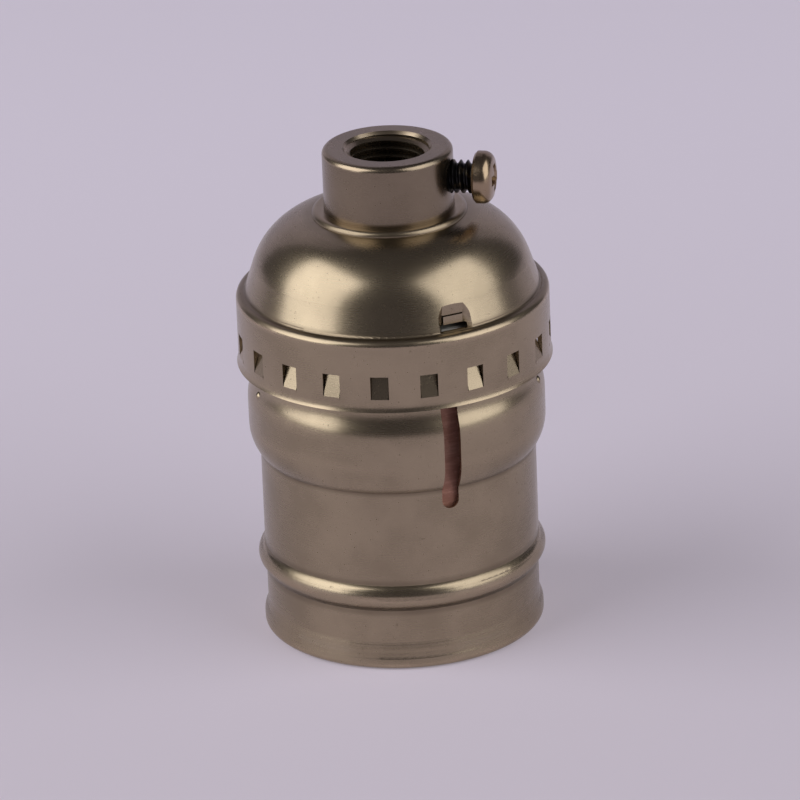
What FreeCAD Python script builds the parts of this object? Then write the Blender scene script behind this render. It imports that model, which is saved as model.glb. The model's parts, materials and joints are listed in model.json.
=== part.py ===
"""Snap-together lamp holder: a pressed metal cap and shell around a ceramic interior.

The origin is at the centre of the mouth, +Z runs up the lamp's axis to the threaded neck,
and the set screw points along +X. All sizes are in millimetres and degrees.
"""
import FreeCAD, Part
import math
import os
import Sketcher
from FreeCAD import Placement, Rotation, Vector

SIZES = {
    # pressed shell
    "barrel_radius": 16.6,
    "mouth_lip_width": 1.2,
    "rim_step": 0.36,
    "rim_round": 0.7,
    "rim_flare_top": 1.35,
    "foot_top": 3.1,
    "foot_step": 0.1,
    "bead_middle": 9.15,
    "bead_half_height": 1.65,
    "bead_rise": 0.8,
    "shoulder_bottom": 22.7,
    "shoulder_top": 26.3,
    "bulge_step": 1.27,
    "collar_bottom": 29.4,
    "collar_top": 33.8,
    "collar_step": 0.87,
    "snap_bead_middle": 39.6,
    "snap_bead_half_height": 0.8,
    "snap_bead_rise": 0.12,
    "shell_top": 41.5,
    "shell_wall": 0.5,
    "slit_count": 2,
    "slit_angle": -57,
    "slit_width": 2.1,
    "slit_bottom": 20.2,
    # pressed cap
    "cap_wall": 0.6,
    "cap_edge": 34.05,
    "edge_flare": 0.2,
    "edge_height": 0.9,
    "band_reach": 0.88,
    "band_top": 42.9,
    "band_round": 0.8,
    "groove_round": 0.35,
    "band_ledge": 1.15,
    "dome_lean": 1.05,
    "dome_knee_height": 46.3,
    "hub_radius": 9.3,
    "hub_top": 53.0,
    "hub_round": 0.65,
    "tab_count": 20,
    "tab_first_angle": 6,
    "tab_width": 2.15,
    "tab_bottom": 35.65,
    "tab_top": 38.5,
    "tab_lean": 0.9,
    "tab_shear_gap": 0.1,
    "louvre_count": 2,
    "louvre_angle": -53.3,
    "louvre_width": 4.4,
    "louvre_shoulder": 0.9,
    "louvre_top": 46.05,
    "louvre_crease": 44.6,
    "louvre_bottom": 43.5,
    "louvre_depth": 1.1,
    "louvre_plate_width": 2.7,
    "louvre_shear": 0.2,
    # threaded neck and its screw
    "neck_radius": 7.8,
    "neck_top": 60.5,
    "neck_round": 0.7,
    "neck_bore_radius": 5.0,
    "neck_bore_chamfer": 0.35,
    "spigot_radius": 6.3,
    "swage_radius": 7.2,
    "swage_height": 0.8,
    "running_gap": 0.05,
    "set_screw_height": 57.0,
    "set_screw_gap": 2.75,
    "set_screw_radius": 2.0,
    "set_screw_length": 5.2,
    "set_screw_head_radius": 3.15,
    "set_screw_head_height": 2.4,
    # insulating sleeve
    "sleeve_gap": 0.15,
    "sleeve_wall": 0.8,
    "sleeve_top": 34.6,
    "sleeve_seam": 0.4,
    "sleeve_seam_angle": 90,
    # ceramic interior
    "base_gap": 0.3,
    "base_bottom": 25.4,
    "flange_gap": 0.1,
    "crown_radius": 16.1,
    "crown_top": 42.6,
    "well_radius": 13.8,
    "well_floor": 39.0,
    "boss_radius": 5.8,
    "boss_bottom": 24.6,
    "boss_relief": 0.4,
    "base_round": 0.8,
    "barrier_offset": 1.0,
    "barrier_width": 1.2,
    "barrier_top": 42.0,
    # screw shell for the lamp
    "thread_mean_radius": 12.73,
    "thread_depth": 1.1,
    "thread_pitch": 3.629,
    "thread_runout": 1.8,
    "thread_sections": 37,
    "thread_wall": 0.4,
    "mouth_bottom": 3.6,
    "mouth_radius": 13.35,
    "mouth_height": 2.4,
    "floor_hole_radius": 6.2,
    # centre contact
    "contact_width": 4.0,
    "contact_sheet": 0.4,
    "contact_foot": 1.7,
    "contact_tip_x": 4.4,
    "contact_tip_drop": 2.3,
    "contact_tip_height": 0.5,
    "contact_rivet_x": -3.2,
    "contact_rivet_play": 0.3,
    # rivets
    "rivet_radius": 1.0,
    "rivet_head_radius": 1.6,
    "rivet_head_height": 0.6,
    "neutral_rivet_x": 9.0,
    "neutral_rivet_y": 5.2,
    "anchor_rivet_x": -6.0,
    "anchor_rivet_y": -8.6,
    # terminals
    "terminal_x": 9.0,
    "plate_sheet": 1.2,
    "plate_width": 7.0,
    "live_plate_inner_x": -1.7,
    "neutral_plate_reach": 7.0,
    "clamp_width": 6.6,
    "clamp_sheet": 0.8,
    "clamp_lip": 0.5,
    "terminal_screw_radius": 1.75,
    "terminal_screw_length": 5.6,
    "terminal_head_radius": 2.6,
    "terminal_head_height": 2.2,
    "terminal_hole_depth": 6.0,
    # drive recesses
    "cross_width": 0.8,
    "cross_reach": 1.7,
    "cross_depth": 1.1,
}


# radii that follow from the sizes above, so that the pressings keep fitting each other
DERIVED = {
    "rim_radius": "barrel_radius + rim_step",
    "foot_radius": "barrel_radius - foot_step",
    "mouth_lip_radius": "foot_radius - mouth_lip_width",
    "bead_radius": "barrel_radius + bead_rise",
    "bulge_radius": "barrel_radius + bulge_step",
    "collar_radius": "bulge_radius - collar_step",
    "flange_radius": "collar_radius - shell_wall - flange_gap",
    "band_radius": "bulge_radius + band_reach",
    "dome_foot_radius": "band_radius - band_ledge",
    "dome_knee_radius": "dome_foot_radius - dome_lean",
}


class Size:
    """A length with its number and the spreadsheet formula that gives it."""

    def __init__(self, number, formula=None):
        self.number = float(number)
        self.formula = formula if formula is not None else repr(float(number))

    @staticmethod
    def of(other):
        return other if isinstance(other, Size) else Size(other)

    def join(self, sign, other, number):
        return Size(number, "(%s %s %s)" % (self.formula, sign, other.formula))

    def __add__(self, other):
        other = Size.of(other)
        return self.join("+", other, self.number + other.number)

    def __sub__(self, other):
        other = Size.of(other)
        return self.join("-", other, self.number - other.number)

    def __mul__(self, other):
        other = Size.of(other)
        return self.join("*", other, self.number * other.number)

    def __truediv__(self, other):
        other = Size.of(other)
        return self.join("/", other, self.number / other.number)

    def __rsub__(self, other):
        return Size.of(other) - self

    __radd__ = __add__
    __rmul__ = __mul__

    def __neg__(self):
        return Size(-self.number, "(0 - %s)" % self.formula)


class Sizes:
    """The driving dimensions, each written once in the document's spreadsheet."""

    def __init__(self, doc):
        self.sheet = doc.addObject("Spreadsheet::Sheet", "sizes")
        derived = {alias: "=" + formula for alias, formula in DERIVED.items()}
        for row, (alias, entry) in enumerate({**SIZES, **derived}.items(), start=1):
            self.sheet.set("A%d" % row, alias)
            self.sheet.set("B%d" % row, str(entry))
            self.sheet.setAlias("B%d" % row, alias)
        doc.recompute()

    def __getattr__(self, alias):
        return Size(self.sheet.get(alias), "sizes.%s" % alias)


def tie(thing, prop, size):
    """Bind one property of an object to the spreadsheet."""
    size = Size.of(size)
    thing.setExpression(prop, size.formula)


class Outline:
    """A chain of lines and arcs in a sketch, with every corner tied to the spreadsheet."""

    def __init__(self, x, y):
        self.corners = [(Size.of(x), Size.of(y))]
        self.runs = []

    def line(self, x, y):
        self.corners.append((Size.of(x), Size.of(y)))
        self.runs.append(("line", None, 0))
        return self

    def arc(self, x, y, radius, turn):
        """An arc to x, y: turn is +1 where the path bends to its left and -1 to its right."""
        self.corners.append((Size.of(x), Size.of(y)))
        self.runs.append(("arc", Size.of(radius), turn))
        return self

    def smooth_arc(self, x, y, guess, turn):
        """An arc to x, y that leaves the run before it without a corner; guess is its rough radius."""
        self.corners.append((Size.of(x), Size.of(y)))
        self.runs.append(("smooth", Size.of(guess), turn))
        return self

    def swell(self, x, y, turn):
        """Two equal arcs that leave and arrive parallel to the sketch's Y axis."""
        x0, y0 = self.corners[-1]
        x, y = Size.of(x), Size.of(y)
        wide, tall = x - x0, y - y0
        radius = (wide * wide + tall * tall) / (wide * 4)
        if radius.number < 0:
            radius = -radius
        self.arc((x0 + x) / 2, (y0 + y) / 2, radius, turn)
        return self.arc(x, y, radius, -turn)

    def points(self):
        return [Vector(x.number, y.number, 0) for x, y in self.corners]

    def draw(self, sketch, closed):
        """Add the geometry and the constraints that tie it to the spreadsheet."""
        points = self.points()
        count = len(self.runs)
        ends = []
        for i, (kind, radius, turn) in enumerate(self.runs):
            start = points[i]
            stop = points[0] if closed and i == count - 1 else points[i + 1]
            if kind == "line":
                sketch.addGeometry(Part.LineSegment(start, stop))
                ends.append((1, 2))
                continue
            sketch.addGeometry(round_run(start, stop, radius.number, turn))
            ends.append((1, 2) if turn > 0 else (2, 1))
        self.constrain(sketch, ends, closed)

    def constrain(self, sketch, ends, closed):
        count = len(self.runs)
        for i, (kind, radius, _) in enumerate(self.runs):
            x, y = self.corners[i]
            place(sketch, i, ends[i][0], x, y)
            following = i + 1 if i + 1 < count else (0 if closed else None)
            if following is None:
                x, y = self.corners[-1]
                place(sketch, i, ends[i][1], x, y)
            elif not (following < count and self.runs[following][0] == "smooth"):
                sketch.addConstraint(Sketcher.Constraint(
                    "Coincident", i, ends[i][1], following, ends[following][0]))
            if kind == "arc":
                index = sketch.addConstraint(Sketcher.Constraint("Radius", i, radius.number))
                tie(sketch, "Constraints[%d]" % index, radius)
            if kind == "smooth":
                sketch.addConstraint(Sketcher.Constraint(
                    "Tangent", i - 1, ends[i - 1][1], i, ends[i][0]))


def round_run(start, stop, radius, turn):
    """An arc between two points; a sketch's arcs always run to the left, so a right turn is reversed."""
    chord = stop - start
    half = chord.Length / 2
    left = Vector(-chord.y, chord.x, 0).normalize()
    centre = (start + stop) / 2 + left * (turn * math.sqrt(max(radius * radius - half * half, 0.0)))
    first, last = (start, stop) if turn > 0 else (stop, start)
    circle = Part.Circle(centre, Vector(0, 0, 1), radius)
    return Part.ArcOfCircle(circle, bearing(first - centre), bearing(last - centre))


def bearing(vector):
    return math.atan2(vector.y, vector.x)


def place(sketch, geometry, end, x, y):
    """Hold one end of a run at x, y of the sketch."""
    for name, size, axis in (("DistanceX", x, -2), ("DistanceY", y, -1)):
        if abs(size.number) < 1e-9:
            sketch.addConstraint(Sketcher.Constraint("PointOnObject", geometry, end, axis))
            continue
        if size.number > 0:
            constraint = Sketcher.Constraint(name, -1, 1, geometry, end, size.number)
        else:
            constraint = Sketcher.Constraint(name, geometry, end, -1, 1, -size.number)
            size = -size
        index = sketch.addConstraint(constraint)
        tie(sketch, "Constraints[%d]" % index, size)


def new_body(doc, node):
    body = doc.addObject("PartDesign::Body", node)
    body.Label = node
    doc.recompute()
    return body


def origin_part(body, role):
    return next(o for o in body.Origin.OriginFeatures if o.Role == role)


def new_sketch(body, name, role, offset=0, angle=0):
    """A sketch on one of the body's own planes, moved along its normal or turned about its Y axis."""
    sketch = body.newObject("Sketcher::SketchObject", name)
    sketch.AttachmentSupport = [(origin_part(body, role), "")]
    sketch.MapMode = "FlatFace"
    offset, angle = Size.of(offset), Size.of(angle)
    sketch.AttachmentOffset = Placement(Vector(0, 0, offset.number),
                                        Rotation(Vector(0, 1, 0), angle.number))
    if offset.number:
        tie(sketch, "AttachmentOffset.Base.z", offset)
    return sketch


def add_circle(sketch, x, y, radius):
    x, y, radius = Size.of(x), Size.of(y), Size.of(radius)
    index = sketch.addGeometry(Part.Circle(Vector(x.number, y.number, 0), Vector(0, 0, 1), radius.number))
    place(sketch, index, 3, x, y)
    constraint = sketch.addConstraint(Sketcher.Constraint("Radius", index, radius.number))
    tie(sketch, "Constraints[%d]" % constraint, radius)


def box_outline(x0, y0, x1, y1):
    return Outline(x0, y0).line(x1, y0).line(x1, y1).line(x0, y1).line(x0, y0)


def extrude(body, kind, sketch, length, both_ways=False, reverse=False):
    """Pad or Pocket a sketch over a length tied to the spreadsheet."""
    feature = body.newObject("PartDesign::" + kind, sketch.Name + "_" + kind.lower())
    feature.Profile = sketch
    length = Size.of(length)
    feature.Length = length.number
    tie(feature, "Length", length)
    feature.Midplane = both_ways
    feature.Reversed = reverse
    body.Document.recompute()
    return feature


def drill(body, name, x, y, radius, bottom, depth):
    """A round hole along +Z that starts at the height bottom."""
    sketch = new_sketch(body, name, "XY_Plane", offset=bottom)
    add_circle(sketch, x, y, radius)
    return extrude(body, "Pocket", sketch, depth, reverse=True)


def spun(body, name, outline, kind="Revolution"):
    """Turn a closed outline of radius and height about the body's Z axis, as metal or as a cut."""
    sketch = new_sketch(body, name, "XZ_Plane")
    outline.draw(sketch, closed=True)
    feature = body.newObject("PartDesign::" + kind, name + "_turned")
    feature.Profile = sketch
    feature.ReferenceAxis = (sketch, ["V_Axis"])
    feature.Angle = 360
    body.Document.recompute()
    return feature


def repeated(body, name, features, count):
    """Repeat features evenly round the body's Z axis."""
    pattern = body.newObject("PartDesign::PolarPattern", name)
    pattern.Originals = features
    pattern.Axis = (origin_part(body, "Z_Axis"), [""])
    pattern.Angle = 360
    pattern.Occurrences = int(count.number)
    tie(pattern, "Occurrences", count)
    body.Tip = pattern
    body.Document.recompute()
    return pattern


def pressed_sheet(doc, node, outline, wall, open_height):
    """A sheet-metal pressing: a solid turned about Z, hollowed to a wall and open at one height."""
    body = new_body(doc, node)
    solid = spun(body, node + "_line", outline)
    faces = [i for i, face in enumerate(solid.Shape.Faces, start=1)
             if face.BoundBox.ZLength < 1e-3 and abs(face.CenterOfMass.z - open_height.number) < 1e-3]
    hollow = body.newObject("PartDesign::Thickness", node + "_wall")
    hollow.Base = (solid, ["Face%d" % i for i in faces])
    hollow.Mode = "Skin"
    hollow.Join = "Arc"
    hollow.Reversed = True
    tie(hollow, "Value", wall)
    doc.recompute()
    return body


# ---------------------------------------------------------------- pressed metal

def outer_shell(doc, s):
    """Bulged shell with its rolled bead, folded mouth, snap collar and flexing slits."""
    bead_foot, bead_head = s.bead_middle - s.bead_half_height, s.bead_middle + s.bead_half_height
    snap_low = s.snap_bead_middle - s.snap_bead_half_height
    snap_high = s.snap_bead_middle + s.snap_bead_half_height
    snap_radius = s.collar_radius + s.snap_bead_rise
    line = Outline(0, 0).line(s.rim_radius - s.rim_round, 0)
    line.arc(s.rim_radius, s.rim_round, s.rim_round, 1)
    line.line(s.rim_radius, s.rim_flare_top)
    line.swell(s.foot_radius, s.foot_top, 1)
    line.line(s.foot_radius, bead_foot)
    line.swell(s.bead_radius, s.bead_middle, -1)
    line.swell(s.barrel_radius, bead_head, 1)
    line.line(s.barrel_radius, s.shoulder_bottom)
    step, rise = s.bulge_radius - s.barrel_radius, s.shoulder_top - s.shoulder_bottom
    line.arc(s.bulge_radius, s.shoulder_top, (step * step + rise * rise) / (step * 2), 1)
    line.line(s.bulge_radius, s.collar_bottom)
    line.swell(s.collar_radius, s.collar_top, 1)
    line.line(s.collar_radius, snap_low)
    line.swell(snap_radius, s.snap_bead_middle, -1)
    line.swell(s.collar_radius, snap_high, 1)
    line.line(s.collar_radius, s.shell_top).line(0, s.shell_top).line(0, 0)
    body = pressed_sheet(doc, "outer_shell", line, s.shell_wall, s.shell_top)
    drill(body, "mouth", 0, 0, s.mouth_lip_radius, 0, s.shell_wall)
    half = s.slit_width / 2
    sketch = new_sketch(body, "slit", "XZ_Plane", angle=s.slit_angle - 90)
    slit = Outline(-half, s.slit_bottom + half)
    slit.arc(0, s.slit_bottom, half, 1).arc(half, s.slit_bottom + half, half, 1)
    slit.line(half, s.shell_top + 1).line(-half, s.shell_top + 1).line(-half, s.slit_bottom + half)
    slit.draw(sketch, closed=True)
    cut = extrude(body, "Pocket", sketch, s.rim_radius + s.bulge_radius)
    repeated(body, "slits", [cut], s.slit_count)
    return body


def cap(doc, s):
    """Domed cap with a flared edge, inward-bent locking tabs and pressed-in stops."""
    wall, lip, lip_top = s.cap_wall, s.band_radius + s.edge_flare, s.cap_edge + s.edge_height
    flare = (s.edge_flare * s.edge_flare + s.edge_height * s.edge_height) / (s.edge_flare * 2)
    line = Outline(0, s.cap_edge).line(lip, s.cap_edge)
    line.arc(s.band_radius, lip_top, flare, -1)
    line.line(s.band_radius, s.band_top - s.band_round)
    line.arc(s.band_radius - s.band_round, s.band_top, s.band_round, 1)
    line.smooth_arc(s.dome_foot_radius, s.band_top + s.groove_round, s.groove_round, -1)
    line.line(s.dome_knee_radius, s.dome_knee_height)
    line.smooth_arc(s.hub_radius, s.hub_top - s.hub_round, s.dome_knee_radius - s.hub_radius, 1)
    line.arc(s.hub_radius - s.hub_round, s.hub_top, s.hub_round, 1)
    line.line(0, s.hub_top).line(0, s.cap_edge)
    body = new_body(doc, "cap")
    spun(body, "cap_outside", line)
    hollow = Outline(0, s.cap_edge).line(lip - wall, s.cap_edge)
    hollow.arc(s.band_radius - wall, lip_top, flare, -1)
    hollow.line(s.band_radius - wall, s.band_top - s.band_round)
    hollow.arc(s.band_radius - s.band_round, s.band_top - wall, s.band_round - wall, 1)
    hollow.smooth_arc(s.dome_foot_radius - wall, s.band_top + s.groove_round, s.groove_round + wall, -1)
    hollow.line(s.dome_knee_radius - wall * 0.93, s.dome_knee_height - wall * 0.37)
    hollow.smooth_arc(s.hub_radius, s.hub_top - s.hub_round - wall, s.dome_knee_radius - s.hub_radius, 1)
    hollow.line(s.hub_radius - s.hub_round, s.hub_top - wall)
    hollow.line(0, s.hub_top - wall).line(0, s.cap_edge)
    spun(body, "cap_inside", hollow, "Groove")
    drill(body, "hub_hole", 0, 0, s.spigot_radius, s.hub_top - wall, wall)
    cut_tabs(body, s)
    cut_louvres(body, s)
    return body


def cut_tabs(body, s):
    """Tongues sheared on three sides in the band and bent inwards about their lower edge."""
    half = s.tab_width / 2
    window = new_sketch(body, "tab_window", "XZ_Plane", angle=s.tab_first_angle - 90)
    box_outline(-half, s.tab_bottom, half, s.tab_top).draw(window, closed=True)
    cut = extrude(body, "Pocket", window, s.band_radius * 2)
    windows = repeated(body, "tab_windows", [cut], s.tab_count)
    inner = s.band_radius - s.cap_wall
    tongue = new_sketch(body, "tab_tongue", "XZ_Plane", angle=s.tab_first_angle)
    side = Outline(inner, s.tab_bottom - s.cap_wall / 2)
    side.line(s.band_radius, s.tab_bottom - s.cap_wall / 2)
    side.line(s.band_radius, s.tab_bottom)
    side.line(s.band_radius - s.tab_lean, s.tab_top - s.tab_shear_gap)
    side.line(inner - s.tab_lean, s.tab_top - s.tab_shear_gap)
    side.line(inner, s.tab_bottom)
    side.line(inner, s.tab_bottom - s.cap_wall / 2)
    side.draw(tongue, closed=True)
    bent = extrude(body, "Pad", tongue, s.tab_width - s.tab_shear_gap * 2, both_ways=True)
    repeated(body, "tabs", [bent], s.tab_count)
    return windows


def across_sketch(body, name, angle, across):
    """A sketch of radius and height in the half-plane at an angle, moved sideways out of it."""
    sketch = new_sketch(body, name, "XZ_Plane", angle=angle)
    across = Size.of(across)
    turn = math.radians(Size.of(angle).number)
    sketch.AttachmentOffset = Placement(
        Vector(across.number * math.sin(turn), 0, across.number * math.cos(turn)),
        sketch.AttachmentOffset.Rotation)
    tie(sketch, "AttachmentOffset.Base.x", Size(0, "%s * sin(%s * 1deg)" % (across.formula, angle.formula)))
    tie(sketch, "AttachmentOffset.Base.z", Size(0, "%s * cos(%s * 1deg)" % (across.formula, angle.formula)))
    return sketch


def lofted(body, name, kind, angle, sections):
    """Straight-sided loft through outlines that stand side by side, as metal or as a cut."""
    sketches = []
    for index, (across, outline) in enumerate(sections):
        sketches.append(across_sketch(body, "%s_%d" % (name, index), angle, across))
        outline.draw(sketches[-1], closed=True)
    feature = body.newObject("PartDesign::" + kind, name)
    feature.Profile = sketches[0]
    feature.Sections = sketches[1:]
    feature.Ruled = True
    body.Document.recompute()
    return feature


def ring_of(points):
    """A closed outline through points of radius and height."""
    line = Outline(*points[0])
    for point in points[1:] + points[:1]:
        line.line(*point)
    return line


def cut_louvres(body, s):
    """Dents pressed into the foot of the dome, each with a stop plate sheared free on three sides."""
    foot = s.band_top + s.groove_round
    lean = (s.dome_foot_radius - s.dome_knee_radius) / (s.dome_knee_height - foot)

    def skin(height, under=0):
        return s.dome_foot_radius - (height - foot) * lean - under

    wall, middle, air = s.cap_wall, s.cap_wall / 2, s.band_radius + 1
    plate, sill = skin(s.louvre_bottom) - s.louvre_depth, s.band_top + s.cap_wall / 6
    wide, narrow = s.louvre_width / 2, s.louvre_plate_width / 2
    crown, shoulder = s.louvre_top, s.louvre_top - s.louvre_shoulder
    crease, bottom = s.louvre_crease, s.louvre_bottom
    deep = ring_of([(plate - wall, bottom), (plate - wall, crease), (skin(crown, wall), crown + middle),
                    (skin(crown, middle), crown + middle), (skin(bottom, middle), bottom)])
    flat = ring_of([(skin(bottom, wall * 0.8), bottom), (skin(crease, wall * 0.8), crease),
                    (skin(shoulder, wall * 0.8), shoulder + middle), (skin(shoulder, middle), shoulder + middle),
                    (skin(bottom, middle), bottom)])
    tray = lofted(body, "louvre_tray", "AdditiveLoft", s.louvre_angle,
                  [(-wide - middle, flat), (-narrow, deep), (narrow, deep), (wide + middle, flat)])
    deep = ring_of([(plate, sill), (plate, crease), (skin(crown), crown), (air, crown), (air, sill)])
    flat = ring_of([(skin(sill), sill), (skin(crease), crease), (skin(shoulder), shoulder),
                    (air, shoulder), (air, sill)])
    dent = lofted(body, "louvre_dent", "SubtractiveLoft", s.louvre_angle,
                  [(-wide, flat), (-narrow, deep), (narrow, deep), (wide, flat)])
    shear = new_sketch(body, "louvre_shear_line", "XZ_Plane", angle=s.louvre_angle - 90)
    top, gap = crease + s.louvre_shear / 2, s.louvre_shear
    line = Outline(-narrow, top).line(-narrow, top - gap).line(narrow - gap, top - gap)
    line.line(narrow - gap, sill).line(narrow, sill).line(narrow, top).line(-narrow, top)
    line.draw(shear, closed=True)
    slot = extrude(body, "Pocket", shear, s.band_radius * 2)
    repeated(body, "louvres", [tray, dent, slot], s.louvre_count)


# ---------------------------------------------------------------- neck and screws

def neck_bushing(doc, s):
    """Turned bushing, seated on the cap's hub and swaged over inside it."""
    seat, under = s.hub_top, s.hub_top - s.cap_wall
    foot = under - s.swage_height
    line = Outline(s.neck_bore_radius, foot)
    line.line(s.swage_radius, foot).line(s.swage_radius, under).line(s.spigot_radius, under)
    line.line(s.spigot_radius, seat).line(s.neck_radius, seat)
    line.line(s.neck_radius, s.neck_top - s.neck_round)
    line.arc(s.neck_radius - s.neck_round, s.neck_top, s.neck_round, 1)
    line.line(s.neck_bore_radius + s.neck_bore_chamfer, s.neck_top)
    line.line(s.neck_bore_radius, s.neck_top - s.neck_bore_chamfer)
    line.line(s.neck_bore_radius, foot)
    body = new_body(doc, "neck_bushing")
    spun(body, "bushing_line", line)
    sketch = new_sketch(body, "set_screw_hole", "YZ_Plane")
    add_circle(sketch, 0, s.set_screw_height, s.set_screw_radius + s.running_gap)
    extrude(body, "Pocket", sketch, s.neck_radius + s.neck_round, reverse=True)
    return body


def cross_recess(body, s, top):
    """Two crossed slots in the top of a screw head."""
    for name, wide, tall in (("cross_a", s.cross_reach, s.cross_width / 2),
                             ("cross_b", s.cross_width / 2, s.cross_reach)):
        sketch = new_sketch(body, name, "XY_Plane", offset=top)
        box_outline(-wide, -tall, wide, tall).draw(sketch, closed=True)
        extrude(body, "Pocket", sketch, s.cross_depth)


def pan_screw(doc, s, node, radius, length, head_radius, head_height):
    """A pan-head screw along +Z with the underside of its head at its origin."""
    point = radius * 0.25
    round_over = head_height / 2
    line = Outline(0, -length).line(radius - point, -length).line(radius, point - length)
    line.line(radius, 0).line(head_radius, 0)
    line.line(head_radius, head_height - round_over)
    line.arc(head_radius - round_over, head_height, round_over, 1)
    line.line(0, head_height).line(0, -length)
    body = new_body(doc, node)
    spun(body, node + "_line", line)
    cross_recess(body, s, head_height)
    return body


def set_screw(doc, s):
    body = pan_screw(doc, s, "set_screw", s.set_screw_radius, s.set_screw_length,
                     s.set_screw_head_radius, s.set_screw_head_height)
    body.Placement = Placement(Vector(), Rotation(Vector(0, 1, 0), 90))
    tie(body, "Placement.Base.x", s.neck_radius + s.set_screw_gap)
    tie(body, "Placement.Base.z", s.set_screw_height)
    return body


# ---------------------------------------------------------------- interior

def fibre_sleeve(doc, s):
    """Rolled insulating sleeve, standing on the folded mouth of the shell."""
    outer = s.foot_radius - s.shell_wall - s.sleeve_gap
    inner = outer - s.sleeve_wall
    body = new_body(doc, "fibre_sleeve")
    spun(body, "sleeve_line", box_outline(inner, s.shell_wall, outer, s.sleeve_top))
    half = s.sleeve_seam / 2
    seam = new_sketch(body, "seam", "XZ_Plane", angle=s.sleeve_seam_angle - 90)
    box_outline(-half, 0, half, s.sleeve_top + 1).draw(seam, closed=True)
    extrude(body, "Pocket", seam, s.barrel_radius)
    return body


def insulator_body(doc, s):
    """Ceramic interior: a base inside the sleeve, a flange on its edge and a walled top."""
    sleeve_inner = s.foot_radius - s.shell_wall - s.sleeve_gap - s.sleeve_wall
    base = sleeve_inner - s.base_gap
    line = Outline(0, s.boss_bottom).line(s.boss_radius, s.boss_bottom)
    line.line(s.boss_radius, s.base_bottom).line(base - s.base_round, s.base_bottom)
    line.arc(base, s.base_bottom + s.base_round, s.base_round, 1)
    line.line(base, s.sleeve_top).line(s.flange_radius, s.sleeve_top)
    line.line(s.crown_radius, s.crown_top - s.base_round)
    line.arc(s.crown_radius - s.base_round, s.crown_top, s.base_round, 1)
    line.line(s.well_radius, s.crown_top).line(s.well_radius, s.well_floor)
    line.line(0, s.well_floor).line(0, s.boss_bottom)
    body = new_body(doc, "insulator_body")
    spun(body, "insulator_line", line)
    relief_box(body, s)
    barrier(body, s)
    insulator_holes(body, s)
    return body


def relief_box(body, s):
    """A shallow step in the boss that lets the contact spring bend."""
    sketch = new_sketch(body, "relief", "XY_Plane", offset=s.boss_bottom)
    start = s.contact_rivet_x
    half = s.contact_width / 2 + s.boss_relief
    box_outline(start, -half, s.boss_radius + 1, half).draw(sketch, closed=True)
    extrude(body, "Pocket", sketch, s.boss_relief, reverse=True)


def barrier(body, s):
    """The wall between the two terminals."""
    sketch = new_sketch(body, "barrier", "XY_Plane", offset=s.well_floor)
    half = s.barrier_width / 2
    reach = s.well_radius
    box_outline(s.barrier_offset - half, -reach, s.barrier_offset + half, reach).draw(sketch, closed=True)
    extrude(body, "Pad", sketch, s.barrier_top - s.well_floor)


def insulator_holes(body, s):
    rivet_hole = s.rivet_radius + s.running_gap
    depth = s.crown_top - s.boss_bottom
    start = s.boss_bottom
    drill(body, "contact_rivet_hole", s.contact_rivet_x, 0, rivet_hole, start, depth)
    drill(body, "neutral_rivet_hole", s.neutral_rivet_x, s.neutral_rivet_y, rivet_hole, start, depth)
    drill(body, "anchor_rivet_hole", s.anchor_rivet_x, s.anchor_rivet_y, rivet_hole, start, depth)
    pocket = s.terminal_screw_radius + s.base_gap
    bottom = s.well_floor - s.terminal_hole_depth
    drill(body, "live_screw_pocket", -s.terminal_x, 0, pocket, bottom, depth)
    drill(body, "neutral_screw_pocket", s.terminal_x, 0, pocket, bottom, depth)


def screw_shell(doc, s):
    """Rolled lamp thread in thin brass, with a smooth mouth and a floor pierced for the contact's boss."""
    wall, mean = s.thread_wall, s.thread_mean_radius
    mouth_top = s.mouth_bottom + s.mouth_height
    floor_bottom = s.base_bottom - wall
    metal = [
        rolled(doc, s, "rolled_outside", mean + wall, mouth_top, floor_bottom),
        round_bar(doc, "mouth_ring", s.mouth_radius + wall, s.mouth_bottom, s.mouth_height),
        round_bar(doc, "floor_disc", mean + wall, floor_bottom, wall)]
    space = [
        rolled(doc, s, "rolled_inside", mean, mouth_top, floor_bottom),
        round_bar(doc, "mouth_bore", s.mouth_radius, s.mouth_bottom, s.mouth_height - wall),
        round_bar(doc, "mouth_neck", mean, mouth_top - wall, wall),
        round_bar(doc, "floor_hole", s.floor_hole_radius, floor_bottom, wall)]
    for name, x, y in (("floor_rivet_a", s.neutral_rivet_x, s.neutral_rivet_y),
                       ("floor_rivet_b", s.anchor_rivet_x, s.anchor_rivet_y)):
        hole = round_bar(doc, name, s.rivet_radius + s.running_gap, floor_bottom, wall)
        tie(hole, "Placement.Base.x", x)
        tie(hole, "Placement.Base.y", y)
        space.append(hole)
    shell = doc.addObject("Part::Cut", "screw_shell")
    shell.Base = joined(doc, "thread_metal", metal)
    shell.Tool = joined(doc, "thread_space", space)
    doc.recompute()
    return shell


def round_bar(doc, name, radius, bottom, height):
    bar = doc.addObject("Part::Cylinder", name)
    tie(bar, "Radius", radius)
    tie(bar, "Height", height)
    tie(bar, "Placement.Base.z", bottom)
    return bar


def joined(doc, name, shapes):
    union = doc.addObject("Part::MultiFuse", name)
    union.Shapes = shapes
    return union


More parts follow.
